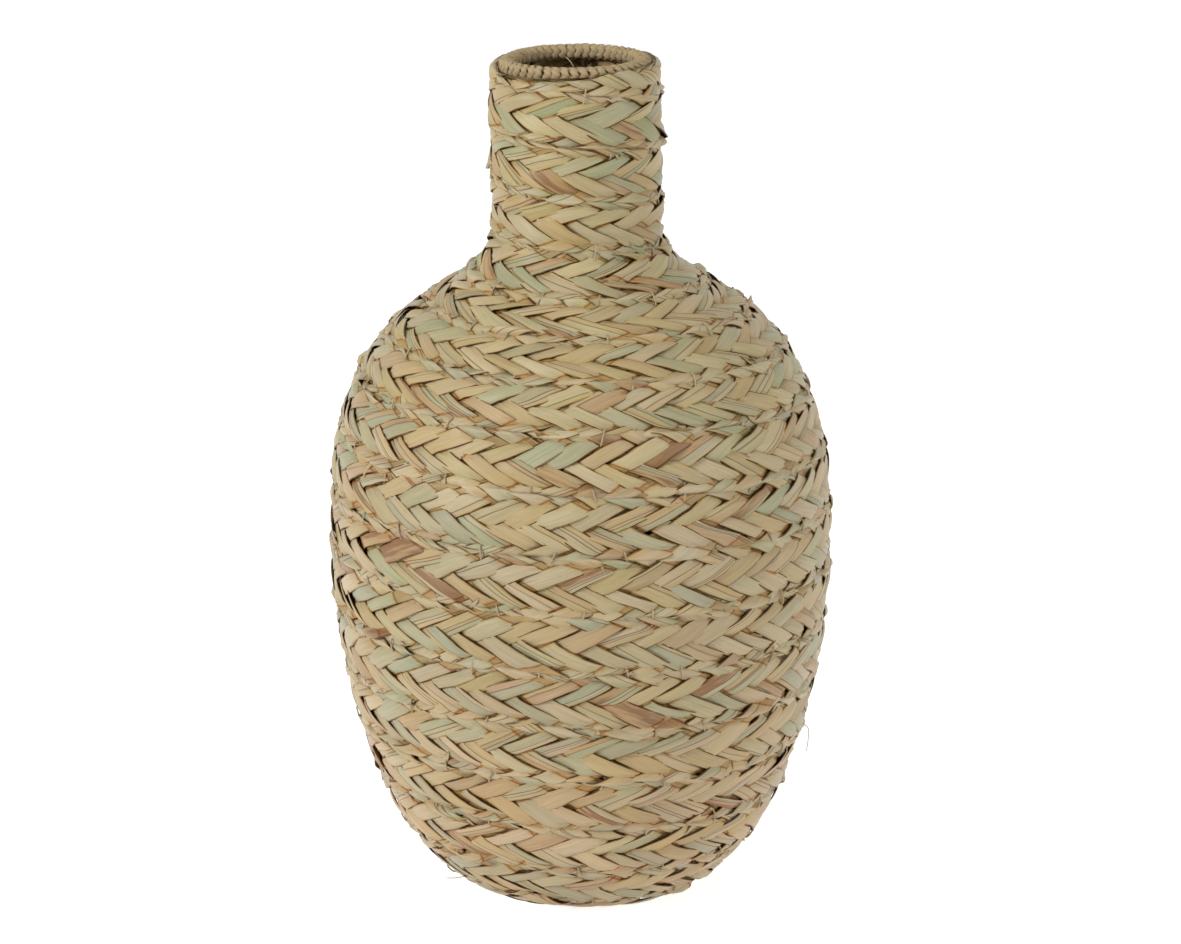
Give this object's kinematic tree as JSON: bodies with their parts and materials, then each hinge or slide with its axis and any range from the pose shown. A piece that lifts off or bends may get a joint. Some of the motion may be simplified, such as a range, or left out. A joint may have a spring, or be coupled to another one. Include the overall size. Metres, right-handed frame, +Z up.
{
  "type": "plaited seagrass vase",
  "caption": "Bottle-shaped vase of flat seagrass plait, wound in a spiral and sewn edge to edge over a wire frame, with a straight open neck and a mouth ring wrapped in twine.",
  "frame": {"origin": "middle of the base, on the surface that the vase stands on", "axes": "+Z up along the axis of the vase; the picture looks along +Y"},
  "size_m": [0.2969, 0.2969, 0.4999],
  "materials": {
    "seagrass": "dry plaited grass leaves, straw to grey-green and brown, matte with a slight sheen along the leaf",
    "thread": "pale twisted raffia thread, matte",
    "twine": "two-ply grass twine, hairy, matte, tan",
    "wire": "iron wire with a dark brown lacquer, rusted in places, matte"
  },
  "bodies": {
    "root": {"plait": "seagrass", "sewing_thread": "thread", "mouth_wrap": "twine", "mouth_ring": "wire", "neck_hoop": "wire", "neck_foot_hoop": "wire", "shoulder_hoop": "wire", "upper_belly_hoop": "wire", "belly_hoop": "wire", "lower_belly_hoop": "wire", "base_hoop": "wire", "rib_1": "wire", "rib_2": "wire", "rib_3": "wire", "rib_4": "wire", "rib_5": "wire", "rib_6": "wire", "rib_7": "wire", "rib_8": "wire"}
  },
  "joints": []
}
